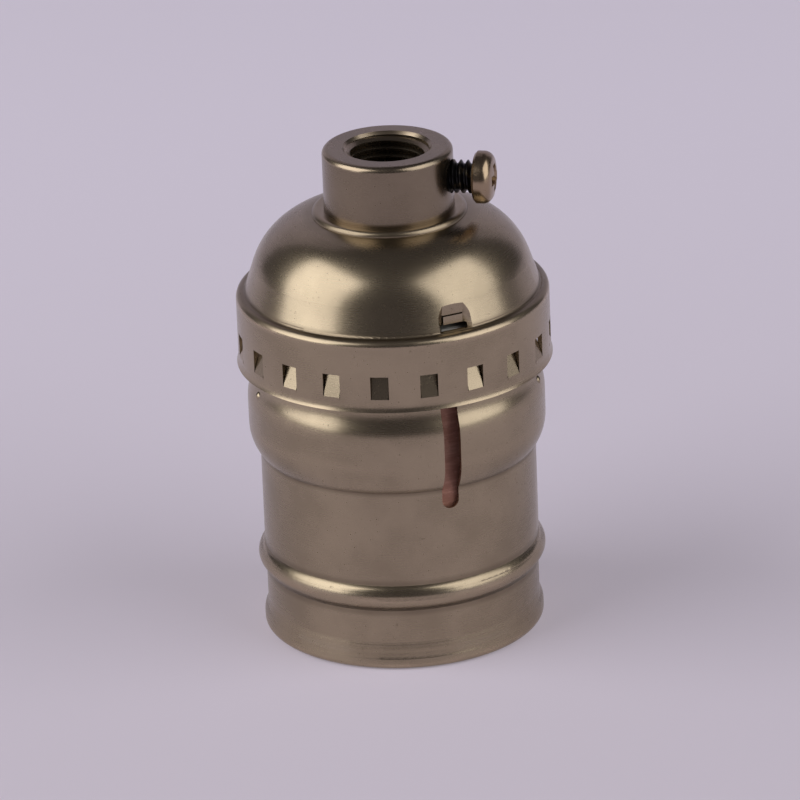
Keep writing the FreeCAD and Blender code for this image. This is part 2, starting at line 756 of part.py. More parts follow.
def rolled(doc, s, name, radius, bottom, top):
    """A bar with a round thread: level circles whose centres climb a helix that fades out at both ends."""
    sections = []
    last = int(s.thread_sections.number) - 1
    for k in range(last + 1):
        ring = doc.addObject("Part::Circle", "%s_%d" % (name, k))
        rise = (top - bottom) * (k / last)
        runout = max(0, min(1, rise.number / s.thread_runout.number,
                            (top - bottom - rise).number / s.thread_runout.number))
        swing, turn = s.thread_depth * (runout / 2), "(%s / %s * 360 deg)" % (
            rise.formula, s.thread_pitch.formula)
        tie(ring, "Radius", radius)
        tie(ring, "Placement.Base.x", Size(0, "%s * cos%s" % (swing.formula, turn)))
        tie(ring, "Placement.Base.y", Size(0, "%s * sin%s" % (swing.formula, turn)))
        tie(ring, "Placement.Base.z", bottom + rise)
        sections.append(ring)
    bar = doc.addObject("Part::Loft", name)
    bar.Sections = sections
    bar.Solid = True
    doc.recompute()
    return bar


def centre_contact(doc, s):
    """Sprung strip: a riveted foot, a slope down and a turned-up tip."""
    sheet, top = s.contact_sheet, s.boss_bottom
    low = top - s.contact_tip_drop
    foot_start = s.contact_rivet_x - s.contact_foot
    foot_end = s.contact_rivet_x + s.contact_foot
    tip, end = s.contact_tip_x, s.contact_tip_x + 1.2
    line = Outline(foot_start, top).line(foot_start, top - sheet)
    line.line(foot_end, top - sheet).line(tip - sheet, low - sheet)
    line.line(tip, low - sheet).line(end, low + s.contact_tip_height - sheet)
    line.line(end, low + s.contact_tip_height).line(tip, low).line(tip - sheet, low)
    line.line(foot_end, top).line(foot_start, top)
    body = new_body(doc, "centre_contact")
    sketch = new_sketch(body, "contact_side", "XZ_Plane")
    line.draw(sketch, closed=True)
    extrude(body, "Pad", sketch, s.contact_width, both_ways=True)
    drill(body, "contact_hole", s.contact_rivet_x, 0, s.rivet_radius + s.contact_rivet_play,
          top - sheet * 2, sheet * 4)
    return body


def rivet(doc, s, node, x, y, low_face, high_face, play):
    """A rivet between two faces, with its lower head clear of what it holds by play."""
    height, head, shank = s.rivet_head_height, s.rivet_head_radius, s.rivet_radius
    low = low_face - play
    line = Outline(0, low - height).line(head, low - height).line(head, low).line(shank, low)
    line.line(shank, high_face).line(head, high_face).line(head, high_face + height)
    line.line(0, high_face + height).line(0, low - height)
    body = new_body(doc, node)
    spun(body, node + "_line", line)
    tie(body, "Placement.Base.x", x)
    tie(body, "Placement.Base.y", y)
    return body


def rivets(doc, s):
    plate_top = s.well_floor + s.plate_sheet
    contact_face = s.boss_bottom - s.contact_sheet
    floor_face = s.base_bottom - s.thread_wall
    return [
        rivet(doc, s, "contact_rivet", s.contact_rivet_x, Size(0), contact_face, plate_top,
              s.contact_rivet_play),
        rivet(doc, s, "neutral_rivet", s.neutral_rivet_x, s.neutral_rivet_y, floor_face, plate_top, 0),
        rivet(doc, s, "anchor_rivet", s.anchor_rivet_x, s.anchor_rivet_y, floor_face, s.well_floor, 0),
    ]


def terminal_plates(doc, s):
    """Brass plates in the well, each with a tapped hole for its screw and a rivet hole."""
    half = s.plate_width / 2
    outer_x = s.terminal_x + half
    live = box_outline(-outer_x, -half, s.live_plate_inner_x, half)
    neutral = Outline(s.terminal_x - half, -half).line(outer_x, -half).line(outer_x, half)
    neutral.line(s.neutral_rivet_x + s.rivet_head_radius + s.base_gap, s.neutral_plate_reach)
    neutral.line(s.terminal_x - half, s.neutral_plate_reach).line(s.terminal_x - half, -half)
    plates = []
    for node, outline, screw_x, rivet_x, rivet_y in (
            ("live_terminal_plate", live, -s.terminal_x, s.contact_rivet_x, Size(0)),
            ("neutral_terminal_plate", neutral, s.terminal_x, s.neutral_rivet_x, s.neutral_rivet_y)):
        body = new_body(doc, node)
        sketch = new_sketch(body, node + "_outline", "XY_Plane", offset=s.well_floor)
        outline.draw(sketch, closed=True)
        extrude(body, "Pad", sketch, s.plate_sheet)
        drill(body, node + "_tapped", screw_x, 0, s.terminal_screw_radius + s.running_gap,
              s.well_floor, s.plate_sheet * 2)
        drill(body, node + "_rivet", rivet_x, rivet_y, s.rivet_radius + s.running_gap,
              s.well_floor, s.plate_sheet * 2)
        plates.append(body)
    return plates


def wire_clamps(doc, s):
    """Square washers, captive on their screws, with two edges turned up."""
    half, lip = s.clamp_width / 2, s.clamp_lip
    base = s.well_floor + s.plate_sheet
    clamps = []
    for node, x in (("live_wire_clamp", -s.terminal_x), ("neutral_wire_clamp", s.terminal_x)):
        body = new_body(doc, node)
        side = Outline(-half, 0).line(half, 0).line(half, s.clamp_sheet + lip)
        side.line(half - lip / 2, s.clamp_sheet + lip).line(half - lip, s.clamp_sheet)
        side.line(lip - half, s.clamp_sheet).line(lip / 2 - half, s.clamp_sheet + lip)
        side.line(-half, s.clamp_sheet + lip).line(-half, 0)
        sketch = new_sketch(body, node + "_side", "XZ_Plane")
        side.draw(sketch, closed=True)
        extrude(body, "Pad", sketch, s.clamp_width, both_ways=True)
        drill(body, node + "_hole", 0, 0, s.terminal_screw_radius + s.running_gap * 2, 0,
              s.clamp_sheet + lip * 2)
        tie(body, "Placement.Base.x", x)
        tie(body, "Placement.Base.z", base)
        clamps.append(body)
    return clamps


def terminal_screws(doc, s):
    base = s.well_floor + s.plate_sheet + s.clamp_sheet
    screws = []
    for node, x in (("live_terminal_screw", -s.terminal_x), ("neutral_terminal_screw", s.terminal_x)):
        body = pan_screw(doc, s, node, s.terminal_screw_radius, s.terminal_screw_length,
                         s.terminal_head_radius, s.terminal_head_height)
        tie(body, "Placement.Base.x", x)
        tie(body, "Placement.Base.z", base)
        screws.append(body)
    return screws


def check(doc, parts):
    """Stop if any feature failed or any sub-part isn't a valid solid."""
    for thing in doc.Objects:
        if "Invalid" in thing.State or "Error" in thing.State:
            raise RuntimeError("%s did not build: %s" % (thing.Label, thing.getStatusString()))
    for part in parts:
        shape = part.Shape
        if shape.isNull() or not shape.isValid() or not shape.Solids:
            raise RuntimeError("%s isn't a valid solid" % part.Label)


def main():
    doc = FreeCAD.newDocument("lamp_holder")
    s = Sizes(doc)
    parts = [cap(doc, s), neck_bushing(doc, s), set_screw(doc, s), outer_shell(doc, s),
             fibre_sleeve(doc, s), insulator_body(doc, s), screw_shell(doc, s), centre_contact(doc, s)]
    parts += rivets(doc, s) + terminal_plates(doc, s) + wire_clamps(doc, s) + terminal_screws(doc, s)
    doc.recompute()
    check(doc, parts)
    os.makedirs("parts", exist_ok=True)
    for part in parts:
        part.Shape.exportStep("parts/%s.step" % part.Label)
        print("%-24s %9.1f mm3, %d solid(s)" % (part.Label, part.Shape.Volume, len(part.Shape.Solids)))


main()
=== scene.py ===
"""Dresses the snap-together lamp holder: pressings, screw threads, ceramic interior and studio.

Lengths are in millimetres in the classes below and become metres when a mesh is made.
"""

import json
import logging
import math
from dataclasses import dataclass, field
from enum import Enum
from typing import Any, Optional, Sequence, Union

import bmesh
import bpy
from mathutils import Matrix, Vector

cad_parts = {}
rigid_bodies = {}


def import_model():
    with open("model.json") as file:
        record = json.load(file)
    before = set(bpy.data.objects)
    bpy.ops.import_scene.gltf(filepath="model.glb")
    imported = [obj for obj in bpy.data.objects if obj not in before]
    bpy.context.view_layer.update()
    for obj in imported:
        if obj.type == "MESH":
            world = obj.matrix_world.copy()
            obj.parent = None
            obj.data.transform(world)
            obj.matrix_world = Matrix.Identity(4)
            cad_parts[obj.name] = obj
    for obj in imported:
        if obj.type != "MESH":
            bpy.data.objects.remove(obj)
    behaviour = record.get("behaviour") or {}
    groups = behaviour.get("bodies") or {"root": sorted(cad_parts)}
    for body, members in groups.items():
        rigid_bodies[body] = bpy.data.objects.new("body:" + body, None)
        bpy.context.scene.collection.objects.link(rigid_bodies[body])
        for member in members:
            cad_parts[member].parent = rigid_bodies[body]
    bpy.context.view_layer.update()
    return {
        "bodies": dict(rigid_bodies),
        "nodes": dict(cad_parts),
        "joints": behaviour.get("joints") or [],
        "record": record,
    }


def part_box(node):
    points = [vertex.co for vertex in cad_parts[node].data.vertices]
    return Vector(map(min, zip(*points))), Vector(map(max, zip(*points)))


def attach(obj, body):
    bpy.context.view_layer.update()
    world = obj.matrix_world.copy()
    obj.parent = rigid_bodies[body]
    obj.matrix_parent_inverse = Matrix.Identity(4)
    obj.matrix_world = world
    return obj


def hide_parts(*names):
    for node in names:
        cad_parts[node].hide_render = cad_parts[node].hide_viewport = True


LOG = logging.getLogger("lamp_holder")
MM = 0.001
MM_PER_METRE = 1000.0
MERGE = 1e-4
ALONG_X = Matrix.Rotation(math.pi / 2, 4, "Y")
Colour = tuple[float, float, float]
Profile = list[tuple[float, float]]

# heights of the holder's features above its mouth
RIM_FLARE = 0.6
BEAD_FOOT = 7.3
BEAD = 9.15
BEAD_CREST = 9.2
BEAD_HEAD = 11.0
SHELL_CREASE = 22.7
SHELL_SHOULDER = 26.3
PIPS = 31.3
CAP_LIP = 34.2
BAND_ROUND = 42.3
BAND_GROOVE = 43.0
HUB_FOOT = 52.6
HUB_ROUND = 53.0
NECK_FOOT = 53.1
SET_SCREW_AXIS = 57.0
NECK_EDGE = 60.2


# ------------------------------------------------------------------ shader expressions

class Value:
    """A link inside one material, on which Python's operators add Math nodes."""

    def __init__(self, paint: "Paint", socket: bpy.types.NodeSocket) -> None:
        """Remember the material and the output socket that carries the value."""
        self.paint = paint
        self.socket = socket

    def _math(self, operation: str, first: Any, second: Any = 0.0) -> "Value":
        """Add one Math node and return its result."""
        return self.paint.node("ShaderNodeMath", {"operation": operation}, {0: first, 1: second})

    def __add__(self, other: "Operand") -> "Value":
        """This value plus another."""
        return self._math("ADD", self, other)

    def __sub__(self, other: "Operand") -> "Value":
        """This value minus another."""
        return self._math("SUBTRACT", self, other)

    def __rsub__(self, other: "Operand") -> "Value":
        """Another value minus this one."""
        return self._math("SUBTRACT", other, self)

    def __mul__(self, other: "Operand") -> "Value":
        """This value times another."""
        return self._math("MULTIPLY", self, other)

    def __truediv__(self, other: "Operand") -> "Value":
        """This value divided by another."""
        return self._math("DIVIDE", self, other)

    def __pow__(self, other: "Operand") -> "Value":
        """This value raised to a power."""
        return self._math("POWER", self, other)

    def __abs__(self) -> "Value":
        """This value without its sign."""
        return self._math("ABSOLUTE", self)

    __radd__ = __add__
    __rmul__ = __mul__

    def larger(self, other: "Operand") -> "Value":
        """The larger of this value and another."""
        return self._math("MAXIMUM", self, other)

    def smaller(self, other: "Operand") -> "Value":
        """The smaller of this value and another."""
        return self._math("MINIMUM", self, other)

    def ease(self, low: float, high: float) -> "Value":
        """Climb smoothly from 0 at low to 1 at high.

        Args:
            low: The value at which the result is 0.
            high: The value at which the result is 1.

        Returns:
            The eased value, held between 0 and 1.
        """
        return self.paint.node("ShaderNodeMapRange", {"interpolation_type": "SMOOTHSTEP"},
                               {"Value": self, "From Min": low, "From Max": high})


Operand = Union[Value, float]


class Paint:
    """One material and its node tree."""

    def __init__(self, name: str) -> None:
        """Make a material that holds a single principled shader."""
        self.material = bpy.data.materials.new(name)
        self.material.use_nodes = True
        self.tree = self.material.node_tree
        self.tree.nodes.clear()
        self.surface = self.tree.nodes.new("ShaderNodeOutputMaterial").inputs["Surface"]
        self.shader = self.tree.nodes.new("ShaderNodeBsdfPrincipled")
        self.tree.links.new(self.shader.outputs[0], self.surface)
        self._place: Optional[Value] = None

    def node(self, kind: str, settings: Optional[dict] = None, inputs: Optional[dict] = None,
             out: Union[int, str] = 0) -> Value:
        """Add one node.

        Args:
            kind: The node's type.
            settings: Its properties, set before its sockets.
            inputs: Values or links by socket name or number.
            out: Which output to return.

        Returns:
            The chosen output as a value.
        """
        made = self.tree.nodes.new(kind)
        for key, setting in (settings or {}).items():
            setattr(made, key, setting)
        for key, given in (inputs or {}).items():
            self.plug(made.inputs[key], given)
        return Value(self, made.outputs[out])

    def plug(self, socket: bpy.types.NodeSocket, given: Any) -> None:
        """Link a value to a socket, or set the socket's own number or colour."""
        if isinstance(given, Value):
            self.tree.links.new(given.socket, socket)
        elif isinstance(given, tuple) and len(given) == 3 and socket.type == "RGBA":
            socket.default_value = (*given, 1.0)
        else:
            socket.default_value = given

    def set(self, **sockets: Any) -> None:
        """Set sockets of the principled shader, with underscores for spaces."""
        for key, given in sockets.items():
            self.plug(self.shader.inputs[key.replace("_", " ")], given)

    def show_one_side(self) -> None:
        """Leave the back of every face clear, so that nothing is hidden from behind."""
        back = self.node("ShaderNodeNewGeometry", out="Backfacing")
        clear = self.node("ShaderNodeBsdfTransparent")
        solid = Value(self, self.shader.outputs[0])
        self.plug(self.surface, self.node("ShaderNodeMixShader", None, {0: back, 1: solid, 2: clear}))

    @property
    def place(self) -> Value:
        """The point on the piece, in metres from the object's origin."""
        if self._place is None:
            self._place = self.node("ShaderNodeTexCoord", out="Object")
        return self._place

    def stretched(self, x: float, y: float, z: float) -> Value:
        """The point with each axis multiplied, so that a pattern is drawn out along some."""
        return self.node("ShaderNodeVectorMath", {"operation": "MULTIPLY"},
                         {0: self.place, 1: (x, y, z)})

    def height(self) -> Value:
        """The point's height in millimetres."""
        parts = self.node("ShaderNodeSeparateXYZ", None, {0: self.place}, out=2)
        return parts * MM_PER_METRE

    def noise(self, where: Value, scale: float, detail: float = 2.0, rough: float = 0.5) -> Value:
        """Smooth random values round one half."""
        return self.node("ShaderNodeTexNoise", None,
                         {"Vector": where, "Scale": scale, "Detail": detail, "Roughness": rough})

    def mix(self, share: Operand, base: Any, cover: Any) -> Value:
        """Blend two colours: the base where the share is 0 and the cover where it is 1."""
        return self.node("ShaderNodeMix", {"data_type": "RGBA"}, {0: share, 6: base, 7: cover}, out=2)

    def bump(self, height: Value, strength: float, depth: float,
             normal: Optional[Value] = None) -> Value:
        """Turn a height pattern into a normal; depth is in millimetres."""
        inputs = {"Strength": strength, "Distance": depth * MM, "Height": height}
        if normal is not None:
            inputs["Normal"] = normal
        return self.node("ShaderNodeBump", None, inputs)


@dataclass(frozen=True)
class Ring:
    """A band round the piece at one height."""

    height: float
    reach: float
    strength: float = 1.0

    def mask(self, height: Value) -> Value:
        """1 at the ring's height, easing to 0 at its reach."""
        return (1.0 - abs(height - self.height) / self.reach).ease(0.0, 1.0) * self.strength


def ring_masks(rings: Sequence[Ring], height: Value) -> Optional[Value]:
    """The strongest of several rings at each height, or None where there are none."""
    total: Optional[Value] = None
    for ring in rings:
        mask = ring.mask(height)
        total = mask if total is None else total.larger(mask)
    return total


def eased_step(distance: Value, length: float, rise: float) -> Value:
    """How high two equal arcs stand that fall from the rise to nothing.

    Args:
        distance: How far the point is from the arcs' high end.
        length: How far apart the two ends are.
        rise: The height of the high end.

    Returns:
        The height of the arcs at the point.
    """
    radius = (rise ** 2 + length ** 2) / (4.0 * rise)
    half = length / 2.0
    near = distance.smaller(half)
    far = length - distance.larger(half).smaller(length)
    return (radius ** 2 - near * near) ** 0.5 - (radius ** 2 - far * far) ** 0.5 + rise / 2.0


@dataclass(frozen=True)
class CrispBead:
    """A rolled bead seen as one arc that meets the wall in a crease on either side."""

    middle: float
    half: float
    rise: float

    def relief(self, height: Value) -> Value:
        """How far the arc stands off the eased bead of the solid, in millimetres."""
        radius = (self.rise ** 2 + self.half ** 2) / (2.0 * self.rise)
        away = abs(height - self.middle).smaller(self.half)
        bow = (radius ** 2 - away * away) ** 0.5 - (radius - self.rise)
        return bow - eased_step(away, self.half, self.rise)


@dataclass(frozen=True)
class PlainFlare:
    """A flared edge seen as one straight slope."""

    low: float
    high: float
    rise: float
    eased_low: float
    eased_high: float

    def relief(self, height: Value) -> Value:
        """How far the slope stands off the eased flare of the solid, in millimetres."""
        along = height.larger(self.low).smaller(self.high) - self.low
        slope = (1.0 - along / (self.high - self.low)) * self.rise
        down = height.larger(self.eased_low) - self.eased_low
        return slope - eased_step(down, self.eased_high - self.eased_low, self.rise)


# ------------------------------------------------------------------ finishes

@dataclass(frozen=True)
class AntiqueBronze:
    """Lacquered antique bronze on pressed or turned metal, with fine lines round the axis, painted
    shade in its grooves and creases, and rubbed wear with a painted highlight on its rounded edges.
    """

    name: str
    tint: Colour = (0.397, 0.326, 0.223)
    # dark tone for random oxide mottling, specks and lines, and for the painted shade in grooves and
    # creases
    oxide_and_shade: Colour = (0.14, 0.105, 0.07)
    # lighter colour on rounded edges: rubbed wear with a painted highlight
    rubbed_highlight: Colour = (0.52, 0.415, 0.29)
    roughness: float = 0.27
    # rings where shade is painted: the colour darkens towards the grooves and creases
    shaded_recesses: tuple[Ring, ...] = ()
    # rings on rounded edges that are lightened as wear and painted highlight
    edges: tuple[Ring, ...] = ()
    forms: tuple[Union[CrispBead, PlainFlare], ...] = ()
    cloud_share: float = 0.3
    worn_share: float = 0.6
    speck_share: float = 0.3
    line_bump: float = 0.1
    line_depth: float = 0.002
    lacquer: float = 0.12
    lacquer_roughness: float = 0.12

    def paint(self) -> bpy.types.Material:
        """Build the material."""
        p = Paint(self.name)
        height = p.height()
        clouds = p.noise(p.place, scale=130.0, detail=3.0, rough=0.55)
        lines = p.noise(p.stretched(1.0, 1.0, 26.0), scale=240.0, detail=3.0, rough=0.6)
        specks = p.noise(p.place, scale=2600.0, detail=1.0, rough=0.4).ease(0.7, 0.8)
        colour = p.mix(clouds.ease(0.3, 0.75) * self.cloud_share, self.tint, self.oxide_and_shade)
        colour = p.mix((lines - 0.5) * 0.08 + 0.03, colour, self.oxide_and_shade)
        # painted shade: darken the colour at the grooves and creases, where shade falls
        recess_shade = ring_masks(self.shaded_recesses, height)
        if recess_shade is not None:
            colour = p.mix(recess_shade * (clouds * 0.5 + 0.45), colour, self.oxide_and_shade)
        # painted highlight with wear: lighten the colour on the rounded edges
        worn = ring_masks(self.edges, height)
        if worn is not None:
            colour = p.mix(worn * clouds.ease(0.35, 0.65) * self.worn_share, colour, self.rubbed_highlight)
        colour = p.mix(specks * self.speck_share, colour, self.oxide_and_shade)
        fine = p.noise(p.place, scale=900.0, detail=2.0, rough=0.5)
        rough = (clouds - 0.5) * 0.06 + (lines - 0.5) * 0.03 + specks * 0.12 + self.roughness
        if recess_shade is not None:
            rough = rough + recess_shade * 0.08
        normal = None
        for form in self.forms:
            normal = p.bump(form.relief(height), strength=1.0, depth=1.0, normal=normal)
        normal = p.bump(lines * 0.8 + fine * 0.2, strength=self.line_bump, depth=self.line_depth,
                        normal=normal)
        p.set(Base_Color=colour, Metallic=1.0, Roughness=rough, Normal=normal,
              Coat_Weight=self.lacquer, Coat_Roughness=self.lacquer_roughness)
        return p.material


@dataclass(frozen=True)
class BareMetal:
    """Uncoated metal with fine drawn or rolled lines and faint tarnish."""

    name: str
    tint: Colour
    tarnish: Colour
    roughness: float = 0.24
    grain: tuple[float, float, float] = (1.0, 1.0, 18.0)
    tarnish_share: float = 0.45
    spot_share: float = 0.3
    line_depth: float = 0.006

    def paint(self) -> bpy.types.Material:
        """Build the material."""
        p = Paint(self.name)
        clouds = p.noise(p.place, scale=210.0, detail=4.0, rough=0.6)
        lines = p.noise(p.stretched(*self.grain), scale=420.0, detail=2.0, rough=0.55)
        spots = p.noise(p.place, scale=1500.0, detail=2.0, rough=0.5).ease(0.62, 0.75)
        colour = p.mix(clouds.ease(0.42, 0.75) * self.tarnish_share, self.tint, self.tarnish)
        colour = p.mix(spots * self.spot_share, colour, self.tarnish)
        rough = (clouds - 0.5) * 0.16 + (lines - 0.5) * 0.18 + spots * 0.12 + self.roughness
        p.set(Base_Color=colour, Metallic=1.0, Roughness=rough,
              Normal=p.bump(lines, strength=0.4, depth=self.line_depth))
        return p.material


@dataclass(frozen=True)
class BlackedSteel:
    """Oil-blacked thread with brassy wear in patches."""

    name: str
    tint: Colour = (0.022, 0.021, 0.022)
    worn: Colour = (0.34, 0.25, 0.13)
    worn_share: float = 0.35
    grain_depth: float = 0.01

    def paint(self) -> bpy.types.Material:
        """Build the material."""
        p = Paint(self.name)
        clouds = p.noise(p.place, scale=800.0, detail=3.0, rough=0.6)
        spots = clouds.ease(0.52, 0.7)
        colour = p.mix(spots * self.worn_share, self.tint, self.worn)
        p.set(Base_Color=colour, Metallic=0.9, Roughness=clouds * 0.3 + 0.22,
              Normal=p.bump(clouds, strength=0.4, depth=self.grain_depth))
        return p.material


@dataclass(frozen=True)
class VulcanFibre:
    """Red-brown pressed fibre board with long fibres round the roll."""

    name: str = "vulcan_fibre"
    tint: Colour = (0.62, 0.33, 0.24)
    pale: Colour = (0.72, 0.45, 0.35)
    deep: Colour = (0.36, 0.16, 0.11)
    fibre_share: float = 0.55
    pale_share: float = 0.4
    fleck_share: float = 0.3
    fibre_depth: float = 0.03

    def paint(self) -> bpy.types.Material:
        """Build the material."""
        p = Paint(self.name)
        fibres = p.noise(p.stretched(1.0, 1.0, 7.0), scale=330.0, detail=5.0, rough=0.65)
        clouds = p.noise(p.place, scale=120.0, detail=2.0, rough=0.5)
        flecks = p.noise(p.stretched(1.0, 1.0, 3.0), scale=1400.0, detail=2.0, rough=0.5)
        flecks = flecks.ease(0.6, 0.72)
        colour = p.mix(fibres.ease(0.35, 0.7) * self.fibre_share, self.deep, self.tint)
        colour = p.mix(clouds.ease(0.45, 0.7) * self.pale_share, colour, self.pale)
        colour = p.mix(flecks * self.fleck_share, colour, self.pale)
        p.set(Base_Color=colour, Roughness=fibres * 0.25 + 0.42, Specular_IOR_Level=0.4,
              Normal=p.bump(fibres + flecks * 0.5, strength=0.5, depth=self.fibre_depth))
        return p.material


@dataclass(frozen=True)
class Porcelain:
    """Glazed electrical porcelain, faintly warm, with pinholes and firing marks."""

    name: str = "glazed_porcelain"
    tint: Colour = (0.78, 0.755, 0.69)
    warm: Colour = (0.66, 0.6, 0.49)
    mark: Colour = (0.33, 0.27, 0.2)
    warm_share: float = 0.5
    pin_share: float = 0.6
    glaze: float = 0.5
    glaze_roughness: float = 0.06
    glaze_depth: float = 0.03

    def paint(self) -> bpy.types.Material:
        """Build the material."""
        p = Paint(self.name)
        clouds = p.noise(p.place, scale=90.0, detail=3.0, rough=0.5)
        ripple = p.noise(p.place, scale=420.0, detail=2.0, rough=0.5)
        pins = p.noise(p.place, scale=1900.0, detail=1.0, rough=0.4).ease(0.72, 0.78)
        colour = p.mix(clouds.ease(0.4, 0.75) * self.warm_share, self.tint, self.warm)
        colour = p.mix(pins * self.pin_share, colour, self.mark)
        p.set(Base_Color=colour, Roughness=ripple * 0.12 + 0.1, Coat_Weight=self.glaze,
              Coat_Roughness=self.glaze_roughness,
              Normal=p.bump(ripple - pins * 0.6, strength=0.35, depth=self.glaze_depth))
        return p.material


@dataclass(frozen=True)
class StudioCard:
    """Smooth pale card, which the camera and the metal see a little brighter than it lights."""

    name: str
    tint: Colour = (0.55, 0.5, 0.585)
    glow: Colour = (0.17, 0.155, 0.17)
    far_glow: Colour = (0.25, 0.232, 0.275)
    far_heading: float = 12.0
    far_start: float = -0.06
    far_full: float = 0.2
    one_sided: bool = False

    def paint(self) -> bpy.types.Material:
        """Build the material."""
        p = Paint(self.name)
        clouds = p.noise(p.place, scale=9.0, detail=3.0, rough=0.5)
        colour = p.mix(clouds * 0.25, self.tint, tuple(c * 0.96 for c in self.tint))
        turn = math.radians(self.far_heading)
        away = p.node("ShaderNodeVectorMath", {"operation": "DOT_PRODUCT"},
                      {0: p.place, 1: (-math.sin(turn), math.cos(turn), 0.0)}, out="Value")
        glow = p.mix(away.ease(self.far_start, self.far_full), self.glow, self.far_glow)
        path = "ShaderNodeLightPath"
        seen = p.node(path, out="Is Camera Ray").larger(p.node(path, out="Is Glossy Ray"))
        seen = seen.larger(p.node(path, out="Is Transmission Ray"))
        p.set(Base_Color=colour, Roughness=0.85, Specular_IOR_Level=0.2, Emission_Strength=1.0,
              Emission_Color=p.mix(seen, (0.0, 0.0, 0.0), glow))
        if self.one_sided:
            p.show_one_side()
        return p.material


# ------------------------------------------------------------------ mesh helpers

def turned(outline: Profile, steps: int) -> bmesh.types.BMesh:
    """Spin an outline through a full turn about the Z axis.

    Args:
        outline: Points of (radius, height) in millimetres.
        steps: How many steps make the turn.

    Returns:
        The mesh, with its seam and poles closed.
    """
    bm = bmesh.new()
    points = [bm.verts.new((r, 0.0, z)) for r, z in outline]
    edges = [bm.edges.new(pair) for pair in zip(points, points[1:])]
    bmesh.ops.spin(bm, geom=points + edges, cent=(0, 0, 0), axis=(0, 0, 1), dvec=(0, 0, 0),
                   angle=math.tau, steps=steps, use_merge=True, use_duplicate=False)
    bmesh.ops.remove_doubles(bm, verts=bm.verts, dist=MERGE)
    bmesh.ops.recalc_face_normals(bm, faces=bm.faces)
    return bm


def freed(bm: bmesh.types.BMesh, name: str) -> bpy.types.Mesh:
    """Turn a bmesh into a mesh and free it."""
    mesh = bpy.data.meshes.new(name)
    bm.to_mesh(mesh)
    bm.free()
    return mesh


def add_to(base: bmesh.types.BMesh, extra: bmesh.types.BMesh) -> None:
    """Add one mesh to another and free it."""
    mesh = freed(extra, "extra")
    base.from_mesh(mesh)
    bpy.data.meshes.remove(mesh)


def shown(mesh: bpy.types.Mesh) -> bpy.types.Object:
    """Put a mesh in the scene as an object of the same name."""
    thing = bpy.data.objects.new(mesh.name, mesh)
    bpy.context.scene.collection.objects.link(thing)
    return thing


def heading(azimuth: float, elevation: float) -> Vector:
    """The unit vector towards an azimuth and an elevation in degrees."""
    around, up = math.radians(azimuth), math.radians(elevation)
    return Vector((math.cos(around) * math.cos(up), math.sin(around) * math.cos(up), math.sin(up)))


def arc(centre: tuple[float, float], radius: float, start: float, stop: float, parts: int) -> Profile:
    """Points along an arc of an outline.

    Args:
        centre: The arc's centre as (radius, height).
        radius: The arc's own radius.
        start: First angle in degrees from the outward direction.
        stop: Last angle in degrees.
        parts: How many chords make it.

    Returns:
        The points from start to stop.
    """
    angles = [math.radians(start + (stop - start) * k / parts) for k in range(parts + 1)]
    return [(centre[0] + radius * math.cos(a), centre[1] + radius * math.sin(a)) for a in angles]


def finish_mesh(bm: bmesh.types.BMesh, name: str, material: bpy.types.Material, body: str,
                sharp: float = 32.0) -> bpy.types.Object:
    """Make a piece from a mesh, smooth except along its sharp edges, and let it ride on a body.

    Args:
        bm: The finished mesh, which is freed.
        name: The piece's name.
        material: Its finish.
        body: The body it moves with.
        sharp: Edges that turn by more degrees than this stay crisp.

    Returns:
        The piece's object.
    """
    limit = math.radians(sharp)
    bmesh.ops.scale(bm, vec=(MM, MM, MM), verts=bm.verts)
    for face in bm.faces:
        face.smooth = True
    for edge in bm.edges:
        edge.smooth = not (edge.is_manifold and edge.calc_face_angle(0.0) > limit)
    mesh = freed(bm, name)
    mesh.materials.append(material)
    piece = shown(mesh)
    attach(piece, body)
    LOG.info("%s: %d faces, rides on %s", name, len(mesh.polygons), body)
    return piece


def cut(base: bmesh.types.BMesh, cutter: bmesh.types.BMesh) -> bmesh.types.BMesh:
    """Take one mesh away from another.

    Args:
        base: The mesh that stays.
        cutter: The mesh that is taken away; both are freed.

    Returns:
        The mesh that is left.
    """
    objects = [shown(freed(bm, "cutting")) for bm in (base, cutter)]
    modifier = objects[0].modifiers.new("cut", "BOOLEAN")
    modifier.object = objects[1]
    modifier.operation = "DIFFERENCE"
    modifier.solver = "EXACT"
    modifier.use_self = True
    graph = bpy.context.evaluated_depsgraph_get()
    left = bmesh.new()
    left.from_object(objects[0], graph)
    for thing in objects:
        mesh = thing.data
        bpy.data.objects.remove(thing)
        bpy.data.meshes.remove(mesh)
    bmesh.ops.remove_doubles(left, verts=left.verts, dist=MERGE)
    return left


@dataclass
class Thread:
    """A helical tooth that stands on a round core or bore; its corners are shares of the pitch."""

    root: float
    crest: float
    pitch: float
    bottom: float
    top: float
    embed: float = 0.12
    corners: tuple[float, ...] = (0.02, 0.06, 0.4, 0.54, 0.9, 0.94)
    steps: int = 40

    def build(self) -> bmesh.types.BMesh:
        """Carry the tooth's outline along the helix with a climbing spin.

        Returns:
            The closed tooth.
        """
        inward = -1.0 if self.crest > self.root else 1.0
        hidden = self.root + inward * self.embed
        radii = (hidden, self.root, self.crest, self.crest, self.root, hidden)
        turns = (self.top - self.bottom) / self.pitch - 1.0
        bm = bmesh.new()
        points = [bm.verts.new((radius, 0, self.bottom + share * self.pitch))
                  for radius, share in zip(radii, self.corners)]
        first = bm.faces.new(points)
        total = int(self.steps * turns)
        bmesh.ops.spin(bm, geom=[first], cent=(0, 0, 0), axis=(0, 0, 1),
                       dvec=(0, 0, self.pitch / self.steps), angle=math.tau * total / self.steps,
                       steps=total, use_merge=False, use_duplicate=False)
        bmesh.ops.recalc_face_normals(bm, faces=bm.faces)
        return bm


@dataclass(frozen=True)
class ScrewSize:
    """A screw's radii, lengths and pitch in millimetres."""

    shank: float
    length: float
    head: float
    rise: float
    pitch: float


